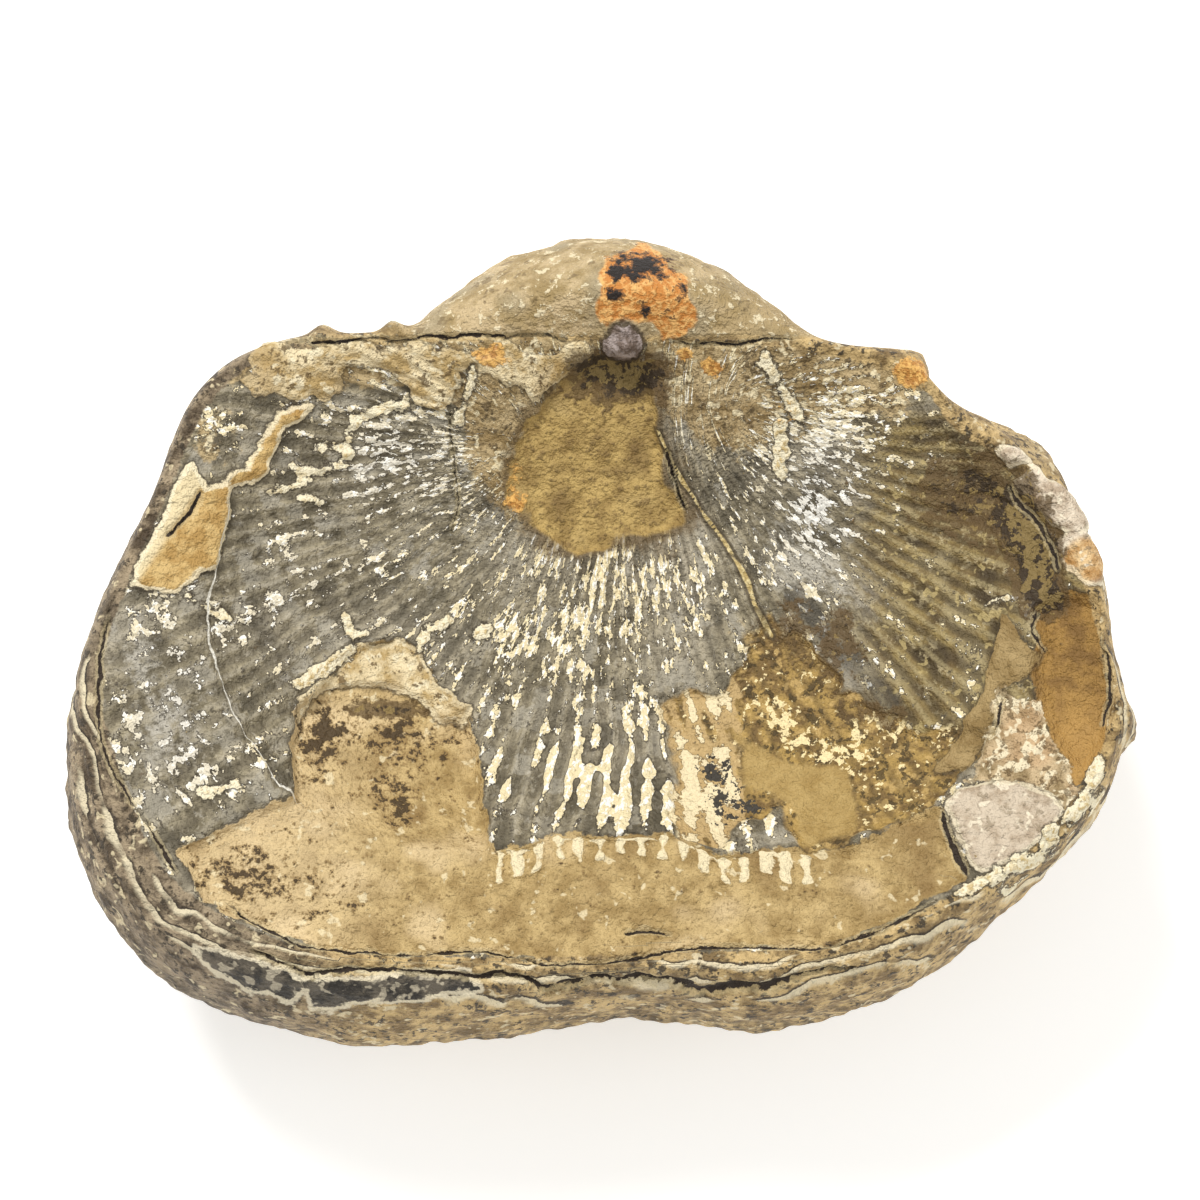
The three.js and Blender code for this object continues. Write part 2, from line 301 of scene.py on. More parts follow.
# each sliver: the points it follows and its width
SLIVERS = [
    ([(-21.0, -3.8), (-19.4, -2.6), (-17.4, -1.0)], 1.0),
    ([(-17.6, 1.0), (-17.2, -0.2), (-16.4, 0.1)], 0.8),
    ([(-12.8, -0.9), (-12.0, 0.2), (-10.7, 1.3)], 0.8),
    ([(-8.6, 0.3), (-7.9, 0.5)], 0.9),
    ([(-21.5, 11.3), (-20.3, 11.2), (-17.8, 11.7)], 0.55),
    ([(-23.0, 9.6), (-21.6, 10.0), (-20.3, 10.8), (-20.6, 11.3)], 0.6),
    ([(-21.0, 9.4), (-19.6, 9.2)], 0.5),
    ([(-17.8, 12.4), (-17.2, 14.7), (-15.7, 15.3), (-13.6, 15.9)], 0.7),
    ([(-19.4, 12.9), (-18.4, 12.8)], 0.6),
    ([(-10.0, 14.9), (-9.2, 16.6)], 0.8),
    ([(-9.0, 16.8), (-8.9, 18.0)], 0.5),
    ([(11.5, 18.5), (12.6, 17.0), (14.1, 14.9)], 0.9),
    ([(12.6, 14.3), (12.6, 11.7)], 1.1),
    ([(-28.6, 2.0), (-27.2, 1.2), (-25.6, 0.6)], 0.6),
    ([(-27.4, -11.8), (-26.2, -11.6), (-24.9, -11.2)], 0.7),
    ([(26.9, 1.7), (28.2, 2.0)], 0.2),
    ([(29.3, 5.6), (29.4, 4.7), (30.2, 4.3), (31.6, 4.8)], 0.35),
    ([(30.0, 2.0), (30.9, 2.2), (31.5, 3.1)], 0.35),
    ([(29.5, 4.6), (29.2, 3.2), (29.9, 2.6)], 0.30),
    ([(29.6, 1.5), (29.9, 0.6)], 0.5),
    ([(24.2, -18.8), (26.2, -17.8), (29.3, -16.6), (31.4, -14.1), (33.3, -12.0), (34.2, -9.5)], 0.9),
    ([(27.6, -18.6), (30.3, -17.0), (32.8, -14.3), (34.4, -11.6)], 0.45),
]
slivers = np.full(len(x), -9.0)
for path, width in SLIVERS:
    slivers = np.maximum(slivers, 0.4 * width - np.abs(trail(path)[0]) + 0.35 * width * grain(0.9, 50))

# slivers and knobs thin out down the steep side
slivers = np.where(seen_above, slivers, -9) - 2 * ramp(0.45, 0.70, on_shoulder)
knobs = knobs - 2 * ramp(0.45, 0.85, on_shoulder)

# a straw-coloured thread of calcite beside the worn patch
THREAD_HALF_WIDTH = 0.13
thread_side, _ = trail([
    (4.1, 14.1), (5.4, 11.5), (6.8, 9.3), (9.0, 6.3), (10.4, 3.8), (10.8, 2.1), (12.0, 0.2),
])
thread_side = np.abs(thread_side + 0.12 * grain(1.6, 51))
thread = np.where(seen_above, THREAD_HALF_WIDTH - thread_side + 0.08 * grain(1.0, 52), -9)

# ---------------------------------------------------------------- cracks
# Hairline gaps and broken edges: the hinge seam, the split layers of the front
# margin, the cut beside the plate, and short cracks in the crusts.

# each crack: the points it follows and its width
CRACKS = [
    ([(-23.5, 19.6), (-12.0, 19.9), (-7.0, 20.0), (-1.0, 19.8)], 0.15),
    ([(4.6, 19.5), (9.0, 19.5), (14.5, 19.8)], 0.15),
    ([(-27.2, -18.0), (-24.4, -20.2), (-20.4, -22.3), (-13.6, -22.9), (-7.7, -22.5),
      (-4.0, -23.6), (0.0, -23.6), (3.4, -22.9), (6.8, -22.3), (11.3, -22.5), (14.9, -22.4),
      (18.4, -21.6), (21.1, -20.3), (24.2, -18.6)], 0.24),
    ([(-24.4, -22.2), (-20.1, -24.3), (-13.6, -24.0), (-10.2, -24.2), (-8.5, -24.6),
      (-6.7, -24.1), (-3.6, -25.1), (0.0, -24.6), (4.5, -24.6), (6.8, -25.3), (10.9, -25.1),
      (13.7, -24.3), (17.8, -23.4)], 0.34),
    ([(23.3, -12.9), (24.0, -15.1), (25.1, -17.6)], 0.50),
    ([(34.6, -0.2), (35.1, -3.3), (35.0, -5.4), (34.4, -7.3)], 0.30),
    ([(-27.8, 9.4), (-28.4, 7.9), (-29.4, 6.4), (-30.0, 5.9)], 0.42),
    ([(4.5, 12.9), (5.0, 11.3), (6.1, 8.7)], 0.26),
    ([(1.5, -21.4), (3.5, -21.2), (5.1, -21.4)], 0.24),
    ([(-10.3, 16.0), (-10.5, 14.2), (-10.3, 12.3), (-10.0, 9.5), (-10.5, 6.8)], 0.10),
    ([(27.9, -4.6), (27.4, -6.4), (26.6, -8.2)], 0.18),
    ([(28.2, 9.8), (29.0, 8.3), (30.5, 6.8), (31.0, 5.4), (31.9, 3.6)], 0.30),
    ([(30.1, 1.0), (29.8, -0.6), (30.6, -2.0)], 0.22),
    ([(-33.8, 1.5), (-34.1, -1.2), (-34.5, -4.8), (-34.1, -8.3), (-33.0, -11.2), (-31.0, -14.0),
      (-29.6, -16.4), (-28.2, -18.2)], 0.34),
]
crack_side = np.full(len(x), 2.0)
crack_width = np.zeros(len(x))
for number, (path, width) in enumerate(CRACKS):
    side, along = trail(path)
    side = side + 0.22 * grain(1.3, 70 + number)
    taper = np.clip(np.minimum(along, 1 - along) * 9 + 0.05, 0, 1) * (0.75 + 0.6 * grain(2.6, 85))
    closer = (np.abs(side) < np.abs(crack_side)) & seen_above
    crack_side = np.where(closer, side, crack_side)
    crack_width = np.where(closer, width * taper * ramp(1.6, 1.0, np.abs(side)), crack_width)

# the thin step on the left, where the edge of the valve turns up
step_side, _ = trail([
    (-25.8, 9.6), (-26.6, 4.6), (-27.2, 1.8), (-27.2, -0.9), (-25.9, -4.9), (-24.4, -7.6),
    (-22.0, -11.2), (-20.8, -11.8),
])
step_side = np.clip(step_side + 0.15 * grain(1.5, 97), -3, 3)
# how strongly the painted highlight along the step shows
step_highlight = ramp(1.5, 0.8, np.abs(step_side)) * (0.97 + 0.10 * grain(2.0, 53)) * seen_above

# ---------------------------------------------------------------- relief
# Ribs fan out from the beak over the disc and under the belly; broken shell stands
# about half a millimetre proud of the mud, and the front margin flakes in layers.

# ribs run side by side under the beak and fan out at the sides: fan is the direction
# of a rib, and reach how far along it a place lies
RIBS_PER_RADIAN = 118 / (2 * math.pi)
RIBS_SIDE_BY_SIDE = 8.0
FAN_MIDDLE = 1.6
FAN_TOP_LEFT, FAN_TOP_RIGHT = 13.2, 16.2
GROWTH_SPACING = 4.6
fan_x = x - FAN_MIDDLE
fan_y = mix(FAN_TOP_LEFT, FAN_TOP_RIGHT, ramp(-9, 11, x)) - y
to_left_end = np.hypot(fan_x + RIBS_SIDE_BY_SIDE, fan_y)
to_right_end = np.hypot(fan_x - RIBS_SIDE_BY_SIDE, fan_y)
fan = np.arcsin(np.clip((to_left_end - to_right_end) / (2 * RIBS_SIDE_BY_SIDE), -1, 1))
fan = np.where(fan_y > 0, fan, np.copysign(math.pi, fan_x) - fan)
reach = 0.5 * (to_left_end + to_right_end)
rib = fan * RIBS_PER_RADIAN + 0.45 * grain(9.0, 90) + 0.14 * grain(2.5, 91)
rib_wave = np.cos(2 * math.pi * rib)
growth = np.sin(2 * math.pi * (reach / GROWTH_SPACING + 0.45 * grain(6.0, 92)))
growth = growth * (0.7 + 0.6 * grain(7.0, 93))

# cream rib ends along the top of the mud band, each of its own length, and a cream edge painted as the
# highlight on the lit face of the step
RIB_END_SPACING = 1.42
tab = 2.0 + 0.7 * grain(1.0, 94, (rib, 0 * x, 0 * x))
ledge = ramp(-7.6, -6.6, x) * ramp(17, 14, x) * (y > -19) * ramp(0.05, 0.3, infill)
rib_end = np.cos(2 * math.pi * (x / RIB_END_SPACING + 0.12 * grain(2.5, 119)))
tabs = ramp(tab + 0.2, tab - 0.3, infill) * (0.72 + 0.42 * rib_end + 0.55 * grain(0.9, 112))
tabs = ledge * np.maximum(tabs, ramp(0.55, 0.25, infill) * (0.95 + 0.6 * grain(1.3, 113)))

# small plates between ribs and growth lines, each a little lighter or darker
PLATE_LENGTH = 1.5
PLATE_COLUMNS, PLATE_ROWS = 256, 64
plates = np.random.default_rng(120).uniform(-1, 1, (PLATE_COLUMNS, PLATE_ROWS))
row = np.floor(reach / PLATE_LENGTH + 0.35 * grain(3.0, 121)).astype(int) % PLATE_ROWS
blocks = plates[np.floor(rib).astype(int) % PLATE_COLUMNS, row]

# long cream bars along the ribs near the front
bars = 0.47 + 0.09 * rib_wave + 0.24 * grain(1.0, 114, (1.5 * rib, 0.45 * reach, 0 * x))
bars = bars + 0.14 * grain(0.8, 115)

# lift is the relief, in millimetres outwards; ribs are lower outside the disc
OUTER_RIB, DISC_RIB = 0.05, 0.12
inner = on_top < 1
flank = radius - rim_r
on_disc = ramp(0.5, -2.5, radius - disc_r)
mud = np.maximum.reduce([infill, worn_patch, side_mud, pool, strip, pocket])
lift = mix(OUTER_RIB, DISC_RIB, on_disc) * rib_wave * ramp(0.3, -0.3, mud)
lift = lift * ramp(4, 9, reach) * inner

# mud lies below the broken shell, and crusts stand above it; each zone: its height
# over the shell around it, and the depths into its outline where its slope starts and ends
for zone, step_height, slope_start, slope_end in [
    (infill, -0.55, -0.15, 0.35), (worn_patch, -0.35, -0.2, 0.6), (side_mud, -0.50, -0.4, 0.5),
    (pocket, -1.10, -0.3, 1.2), (strip, 0.35, -0.2, 0.3), (ear_patch, 0.35, -0.1, 0.25),
    (hinge_crust, 0.30, -0.1, 0.25), (plate, 0.45, -0.1, 0.3),
    (np.maximum(slivers, thread), 0.15, -0.05, 0.12), (tabs, 0.22, 0.5, 0.9),
]:
    lift += step_height * ramp(slope_start, slope_end, zone)
lift -= 0.50 * ramp(-0.1, 0.5, infill) * ramp(-17, -10, y) * ramp(-6.5, -9.0, x)
lift += (0.65 + 0.35 * grain(1.9, 116) - 0.4 * ramp(7.2, 5.6, y)) * ramp(-0.3, 0.6, knobs)
lift += 0.30 * ramp(-0.1, 0.3, right_flakes) * grain(0.9, 95)
lift += 0.65 * ramp(-0.1, 0.35, arch_crust) * (1 + 0.5 * grain(1.1, 98))
# single bumps and hollows: middle, half size, and height; the third is the tooth
for mid_x, mid_y, half_x, half_y, bump_height in [
    (28.2, 11.5, 1.1, 1.1, 0.25), (33.3, 4.2, 1.2, 1.4, 0.2), (1.6, 19.5, 1.35, 1.25, 1.3),
    (-19.3, 20.4, 0.9, 0.8, 0.7), (-14.4, 20.6, 0.8, 0.8, 0.7), (7.3, -6.6, 1.3, 1.6, 0.4),
    (27.4, 9.0, 3.2, 4.4, -1.4), (30.6, 4.4, 1.2, 1.6, -1.0), (1.2, 17.6, 3.2, 1.3, -1.6),
]:
    lift += bump_height * spot(mid_x, mid_y, half_x, half_y)
lift += 0.4 * grain(1.5, 99) * ramp(0.2, 0.8, spot(27.8, 7.5, 5.5, 7.5))
lift -= 0.5 * ramp(1.1, 0.4, np.abs(crack_side) / np.maximum(crack_width, 0.05)) * (crack_width > 0.05)
lift += 0.35 * ramp(-0.15, 0.15, -step_side) * ramp(2.5, 0.5, np.abs(step_side)) * seen_above

# flaking layers of the front and side margins
LAYER_WIDTH = 1.25
LAYER_DROP = 0.60
layer = flank + 0.7 * grain(5.0, 100) + 0.35 * grain(1.7, 101) + 0.15 * grain(0.8, 102)
layer = layer / LAYER_WIDTH
terrace = np.floor(layer) + ramp(0.35, 1.0, layer - np.floor(layer))
layered = ramp(-0.6, 0.2, flank) * seen_above * ramp(4, -4, y) * ramp(3.6, 2.4, flank)
lift += LAYER_DROP * (layer - terrace) * layered * (0.7 + 0.5 * grain(3.5, 111))

# rough outside of the swollen valve, with ribs and growth wrinkles; unrolled is the
# way along it from the umbo, down the back and forward under the belly
BELLY_RIBS_PER_RADIAN = 40
WRINKLE_SPACING = 3.4
outside = ramp(0.3, 0.9, on_shoulder)
unrolled = 3 + (28 - z) + 0.8 * (27 - y)
belly_fan = np.arctan2(x - BEAK[0], unrolled)
belly_rib = np.cos(2 * math.pi * (belly_fan * BELLY_RIBS_PER_RADIAN + 0.35 * grain(7.0, 117)))
belly_rib = belly_rib * ramp(6, 14, unrolled)
wrinkle = np.hypot(x - BEAK[0], unrolled) / WRINKLE_SPACING + 0.35 * grain(6.0, 105)
wrinkle = np.sin(2 * math.pi * wrinkle) * (0.75 + 0.6 * grain(8.0, 118))
on_back = ramp(0.0, 0.3, on_belly)
worn = mix(1.0, 0.4, on_back)
lift += outside * (0.16 * belly_rib * mix(0.1, 1.0, on_back) + 0.34 * wrinkle * on_back)
lift += outside * worn * (0.16 * grain(0.9, 103) + 0.20 * grain(2.2, 104) + 0.25 * grain(5.5, 110))
crest = np.where(inner, rib_wave, belly_rib)
lift += inner * (0.05 * grain(0.7, 106) + 0.07 * grain(1.7, 107))
lift += inner * ramp(0, 0.5, mud) * (0.07 * grain(0.8, 108) + 0.14 * grain(2.6, 109))

# laid on square to the surface; the resting facet stays flat and the size is kept
SPARE = 0.02
shell_mesh.vertices.foreach_set("co", (np.stack([x, y, z], 1) * MM).ravel())
shell_mesh.update()
facing = np.empty(len(x) * 3)
shell_mesh.vertex_normals.foreach_get("vector", facing)
shaped = np.stack([x, y, z], 1) + facing.reshape(-1, 3) * (lift * ramp(0.0, 0.8, z))[:, None]
low = np.array(cad_low) / MM + SPARE * np.array([1, 1, 0])
high = np.array(cad_high) / MM - SPARE
shell_mesh.vertices.foreach_set("co", (np.clip(shaped, low, high) * MM).ravel())
shell_mesh.update()
shell_mesh.shade_smooth()

fossil = bpy.data.objects.new("brachiopod_fossil_shell", shell_mesh)
bpy.context.scene.collection.objects.link(fossil)
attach(fossil, "root")
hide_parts("brachiopod_fossil")

# ---------------------------------------------------------------- shell finish
# Weathered shell calcite over lime mudstone: grey-taupe shell with pale flakes along
# the ribs, tan and ochre mud, rust at the beak. Dry and matt, with dusty pits.


def spots_of(*marks):
    """Sum of rounded spots: middle, half size, amount."""
    return sum(amount * spot(*mark) for *mark, amount in marks)


# how thickly the pale flakes sit on the ribs
flaky = 0.22 + 0.08 * grain(5.0, 120) + spots_of(
    (-6.2, -0.8, 1.7, 2.3, 0.50), (-2.6, 0.0, 2.2, 2.4, 0.36), (1.0, 3.4, 7.0, 3.4, 0.34),
    (1.0, -9.8, 7.6, 4.6, 0.32),
    (-14.5, 13.4, 3.4, 2.4, 0.42), (-10.2, 13.6, 1.8, 2.8, 0.34),
    (-7.2, 14.6, 1.8, 2.2, -0.45), (9.6, 14.7, 2.0, 2.0, -0.35), (15.6, 10.6, 2.4, 4.6, 0.40),
    (13.4, 5.8, 2.4, 3.2, 0.30), (17.5, 14.6, 4.5, 2.2, 0.40), (10.6, 14.2, 2.6, 2.6, 0.25),
    (-28.4, -8.8, 3.0, 2.4, 0.14), (-32.4, -0.5, 1.4, 4.5, 0.15), (-19.0, 4.6, 3.6, 2.2, 0.22),
    (-32.0, -9.0, 1.4, 3.6, 0.12), (-23.0, -6.5, 2.5, 3.5, -0.10), (22.0, 3.0, 4.5, 6.5, -0.22),
    (26.5, 7.5, 4.5, 5.0, -0.30), (27.0, -2.0, 3.0, 4.0, -0.15),
)
# soft pale wash: chalky bloom, and a painted highlight over the crest right of the middle
bloom_and_highlight = spots_of(
    (14.5, 4.8, 2.6, 1.3, 0.8), (18.5, 2.9, 2.8, 1.4, 0.7), (22.3, 1.3, 2.6, 1.3, 0.45),
    (-29.8, -7.5, 2.2, 4.0, 0.6), (-31.8, -1.5, 1.3, 3.6, 0.5), (16.2, 13.2, 3.0, 2.0, 0.6),
    (13.0, 6.6, 2.6, 2.2, 0.4), (-9.3, 13.0, 2.0, 3.5, 0.45), (-22.0, 5.0, 3.0, 2.0, 0.25),
    (-13.0, 6.0, 4.0, 3.0, 0.25), (-20.5, -3.0, 3.0, 2.0, 0.3),
)
# tan dust along the hinge, brown on the right lobe, and painted shade in the side recess, in the hollow
# under the beak, below the arch crust and in a few smaller hollows
hinge_dust = ramp(14.6, 18.2, y + 1.6 * grain(2.4, 121)) + spots_of(
    (-27.5, 13.0, 3.4, 4.2, 0.6), (14.0, 15.6, 9.0, 2.6, 0.7), (9.2, 14.8, 2.4, 2.4, 0.8),
    (-7.6, 14.6, 1.9, 2.6, 1.0), (-5.8, 11.8, 3.0, 4.2, 0.85), (-1.0, 12.0, 7.0, 5.5, 0.45),
    (9.0, -1.0, 3.0, 5.0, 0.35),
)
lobe = ramp(14, 22, x) * ramp(-12, -6, y) * ramp(17, 13, y) * seen_above
recess = spots_of(
    (25.4, 9.2, 4.4, 3.4, 0.75), (28.9, 7.0, 2.0, 2.4, 0.8), (30.3, 3.8, 1.7, 3.0, 1.2),
    (31.2, 1.6, 1.4, 0.8, 0.8),
    (1.2, 17.4, 3.8, 1.7, 1.35), (13.0, 0.0, 2.6, 3.0, 0.5), (16.8, -1.2, 1.6, 4.0, 0.5),
    (19.6, -5.8, 3.0, 1.2, 0.5), (-14.9, -5.0, 3.0, 0.7, 0.9),
)

# warm where the calcite is cream, cool where it is white
warm = 0.85 - spots_of(
    (15.5, 9.0, 4.5, 5.5, 0.7), (-15, 12, 6, 4, 0.5), (-29, -6, 4.5, 8, 0.6), (-20, 3, 6, 6, 0.4),
)

# rust at the umbo with its black specks, orange spots, pitted mud and stained umbo
rust = inside([
    (-0.2, 22.5), (0.5, 25.0), (2.8, 27.1), (4.8, 25.4), (6.1, 23.2), (6.7, 21.8), (6.7, 20.7),
    (5.7, 20.0), (4.2, 19.6), (3.6, 20.8), (2.1, 20.8), (0.5, 20.6), (-0.4, 21.5),
], 0.4, 130)
dots = spots_of(
    (1.0, 22.4, 0.8, 0.6, 0.55), (3.1, 21.5, 0.6, 0.6, 0.5), (4.6, 21.2, 0.7, 0.5, 0.45),
    (3.0, 24.7, 2.8, 2.0, 0.62), (0.9, 24.0, 0.6, 0.6, 0.4), (5.6, 22.6, 0.8, 1.0, 0.35),
)
rusty = spots_of(
    (-7.5, 18.8, 1.5, 0.7, 0.9), (7.8, 18.0, 0.9, 0.7, 0.8), (5.9, 18.9, 0.8, 0.5, 0.8),
    (21.7, 17.5, 1.4, 1.2, 1.1), (-6.0, 10.6, 0.9, 1.7, 0.5), (-5.7, 9.2, 1.0, 0.8, 0.4),
    (13.0, 15.6, 1.0, 1.4, 0.4),
)
pitted = spots_of(
    (-14.6, -10.4, 1.8, 2.4, 1.0), (-13.6, -12.6, 0.8, 1.4, 0.8), (-24.0, -17.2, 4.2, 2.0, 1.05),
    (-19.3, -7.4, 1.8, 3.4, 1.1), (-14.5, -6.2, 4.0, 1.8, 0.9), (-31.0, -14.0, 1.2, 3.0, 0.8),
    (-11.0, -8.6, 1.2, 2.4, 0.5), (-19.0, -19.5, 5.0, 1.4, 0.45), (-6.0, -15.5, 1.0, 1.5, 0.4),
)
umbo_zone = ramp(19.7, 20.3, y) * ramp(-16.5, -12.5, x) * ramp(18.5, 14.5, x)
umbo_zone = umbo_zone * ramp(12, 22, z + 2.5 * grain(3.0, 133))

# slate-dark stone bared between the front layers
slate = np.maximum(inside([
    (-27.3, -22.4), (-23.1, -23.4), (-20.2, -25.0), (-21.0, -25.7), (-24.2, -25.0), (-26.4, -23.8),
], 0.3, 140), inside([
    (-19.8, -24.7), (-17.3, -24.6), (-13.7, -24.5), (-9.0, -24.2), (-8.3, -25.2), (-13.7, -25.8),
    (-19.4, -26.2),
], 0.3, 142))
# dark gaps between loose plates beside the mud
slots = spots_of((7.9, -9.4, 1.5, 1.0, 0.8), (10.0, -12.0, 2.2, 1.4, 0.75), (8.2, -11.4, 0.7, 1.6, 0.5))
# crystalline crumbs along a line in the mud on the right
crumb_line, _ = trail([
    (11.6, -4.9), (14.0, -7.6), (17.3, -8.7), (18.8, -6.6), (20.9, -5.9), (23.9, -6.4),
])
# a dark streak down the ribs on the right
streak, _ = trail([(13.6, 3.0), (16.5, -0.8), (20.2, -5.0)])
streak = 1.0 - np.abs(streak) + 0.5 * grain(1.2, 144)

for name, values in {
    "rib": rib, "reach": reach, "crest": crest, "growth": growth, "bars": bars, "tabs": tabs,
    "barred": np.clip(1.3 * spot(1.0, -10.6, 8.5, 4.0), 0, 1), "bloom_and_highlight": bloom_and_highlight, "blocks": blocks,
    "slots": slots, "thread": thread, "lower_knob": spot(33.4, 4.2, 1.8, 1.9),
    "mud_bars": bars * ramp(11.5, 9.0, x), "golden": ramp(1.7, 0.2, np.abs(crumb_line)),
    "wrinkle": wrinkle, "infill": infill, "worn_patch": worn_patch, "side_mud": side_mud,
    "pool": pool, "strip": strip, "pocket": pocket, "ear_patch": ear_patch, "slivers": slivers,
    "ear_ochre": 0.85 * (x + 28.9) - 0.53 * (y - 7.7),
    "hinge_crust": hinge_crust, "plate": np.maximum(plate, knobs), "right_flakes": right_flakes,
    "crack_side": crack_side, "crack_width": crack_width, "step_side": step_side,
    "step_highlight": step_highlight, "flank": np.where(seen_above, flank, 9.0), "flaky": flaky,
    "hinge_dust": hinge_dust * seen_above, "lobe": lobe, "recess": recess, "warm": warm,
    "rust": rust, "dots": dots, "pitted": pitted, "umbo_zone": umbo_zone, "height": z,
    "tooth": spot(1.6, 19.5, 1.55, 1.5), "rusty": rusty, "slate": slate, "arch_crust": arch_crust,
    "layer": layer, "layered": layered, "streak": np.where(seen_above, streak, -9),
    "broad": 0.5 + 0.5 * grain(6.0, 150),
    "blotch": 0.5 + 0.35 * grain(3.0, 151) + 0.2 * grain(1.4, 152),
    "to_left": ramp(-8, -30, x), "to_right": ramp(3, 13, x), "to_front": ramp(2, -11, y),
    "on_back": np.maximum(on_back, 0.7 * ramp(14, 24, y) * outside),
}.items():
    stored = shell_mesh.attributes.new(name, "FLOAT", "POINT")
    stored.data.foreach_set("value", values.astype(np.float32))


def linear(code):
    """sRGB hex to a linear colour."""
    parts = [int(code[i:i + 2], 16) / 255 for i in (1, 3, 5)]
    return tuple(c / 12.92 if c <= 0.04045 else ((c + 0.055) / 1.055) ** 2.4 for c in parts) + (1.0,)


stone = bpy.data.materials.new("weathered_shell_calcite")
stone.use_nodes = True
tree = stone.node_tree
skin = tree.nodes["Principled BSDF"]


def add(kind, *values, out=None, named=(), **settings):
    """Adds a shader node and gives its first live output, or a named one; values fill
    its live inputs in order."""
    made = tree.nodes.new("ShaderNode" + kind)
    for key, value in settings.items():
        setattr(made, key, value)
    live = [socket for socket in made.inputs if socket.enabled]
    given = list(zip(live, values)) + [(made.inputs[key], value) for key, value in dict(named).items()]
    for socket, value in given:
        if isinstance(value, bpy.types.NodeSocket):
            tree.links.new(value, socket)
        elif isinstance(value, str):
            socket.default_value = linear(value)
        else:
            socket.default_value = value
    return made.outputs[out] if out else next(s for s in made.outputs if s.enabled)


def lay(base, coat, where, low, high, share=1.0):
    """Lays a coat over a base as a field goes from low to high."""
    cover = add("MapRange", where, low, high, 0.0, share, interpolation_type="SMOOTHSTEP")
    return add("Mix", cover, base, coat, data_type="RGBA")


# Object coordinates in millimetres, and noises by the size of their lumps in millimetres
in_mm = add("VectorMath", add("TexCoord", out="Object"), (1 / MM, 1 / MM, 1 / MM), operation="MULTIPLY")
lumps = {}
for title, size, detail, harshness, twist in [
    ("fine", 0.45, 2, 0.60, 0.0), ("rag", 0.7, 3, 0.65, 0.0), ("pore", 0.9, 3, 0.75, 0.0),
    ("curl", 1.2, 2, 0.70, 0.2), ("medium", 1.6, 4, 0.65, 0.0),
]:
    lumps[title] = add("TexNoise", named={
        "Vector": in_mm, "Scale": 1 / size, "Detail": detail, "Roughness": harshness,
        "Distortion": twist})
fine, medium, pore, curl = lumps["fine"], lumps["medium"], lumps["pore"], lumps["curl"]
ragged = add("Math", lumps["rag"], 1.6, -0.8, operation="MULTIPLY_ADD")

read = {item.name: add("Attribute", out="Fac", attribute_name=item.name)
        for item in shell_mesh.attributes if item.data_type == "FLOAT"}
broad, blotch, crest = read["broad"], read["blotch"], read["crest"]


def along_the_ribs(across, along, detail, harshness, level):
    """Noise drawn out along the ribs, with so many lumps to a rib and to a millimetre."""
    across = add("Math", read["rib"], across, operation="MULTIPLY")
    along = add("Math", read["reach"], along, operation="MULTIPLY")
    return add("TexNoise", named={
        "Vector": add("CombineXYZ", across, along, level), "Scale": 1.0, "Detail": detail,
        "Roughness": harshness})


dash = along_the_ribs(1.75, 0.95, 3.0, 0.70, 0.0)
fleck = along_the_ribs(3.2, 1.6, 2.0, 0.65, 3.0)
drift = along_the_ribs(0.55, 0.30, 1.0, 0.50, 7.0)


def ragged_edge(name):
    """Depth into a zone with its edge frayed by a few tenths of a millimetre."""
    return add("Math", ragged, 0.45, read[name], operation="MULTIPLY_ADD")


# olive-grey shell, darker in the furrows between the ribs, brown on the right lobe
shell = lay("#70664e", "#a69a7e", medium, 0.34, 0.66)
shell = lay(shell, "#b2a790", broad, 0.4, 0.9, 0.75)
shell = lay(shell, "#463d2c", crest, 0.2, -0.95, 0.45)
shell = lay(shell, "#bdb39d", crest, 0.5, 1.0, 0.35)
shell = lay(shell, "#4d4433", fleck, 0.45, 0.35, 0.4)
shell = lay(shell, "#c4baa4", fleck, 0.57, 0.67, 0.4)
shell = lay(shell, "#3f382b", read["growth"], 0.35, 1.0, 0.45)
shell = lay(shell, "#464031", read["blocks"], -0.2, -1.0, 0.55)
shell = lay(shell, "#b4ad9c", read["blocks"], 0.3, 1.1, 0.55)
shell = lay(shell, "#403724", pore, 0.57, 0.64, 0.4)
# chalky bloom, and a painted highlight over the crest right of the middle
bloom_and_highlight_cover = add("Math", dash, 2.6, read["bloom_and_highlight"], operation="MULTIPLY_ADD")
shell = lay(shell, "#c2bbab", bloom_and_highlight_cover, 1.45, 2.15, 0.85)
# brown ribs of the right lobe, with pale streaks of painted sheen along them
browned = lay("#6c5832", "#988350", medium, 0.32, 0.68)
browned = lay(browned, "#9f8f68", drift, 0.50, 0.66, 0.8)
browned = lay(browned, "#3b2e17", drift, 0.46, 0.32, 0.8)
# pale streaks along the ribs: painted sheen
browned = lay(browned, "#b9a87f", dash, 0.53, 0.62, 0.8)
browned = lay(browned, "#b7a679", crest, 0.4, 1.0, 0.5)
browned = lay(browned, "#3c2f18", crest, 0.2, -0.8, 0.62)
browned = lay(browned, "#bda870", curl, 0.60, 0.64, 0.7)
shell = lay(shell, browned, read["lobe"], 0.1, 1.0)
# tan dust along the hinge
dusty = lay("#93794a", "#c2aa7c", medium, 0.38, 0.62)
dusty = lay(dusty, "#5e4a28", pore, 0.54, 0.62, 0.8)
dusty = lay(dusty, "#efdfb6", curl, 0.57, 0.62, 0.85)
dust = add("Math", medium, 1.4, read["hinge_dust"], operation="MULTIPLY_ADD")
shell = lay(shell, dusty, dust, 1.15, 1.35, 0.9)

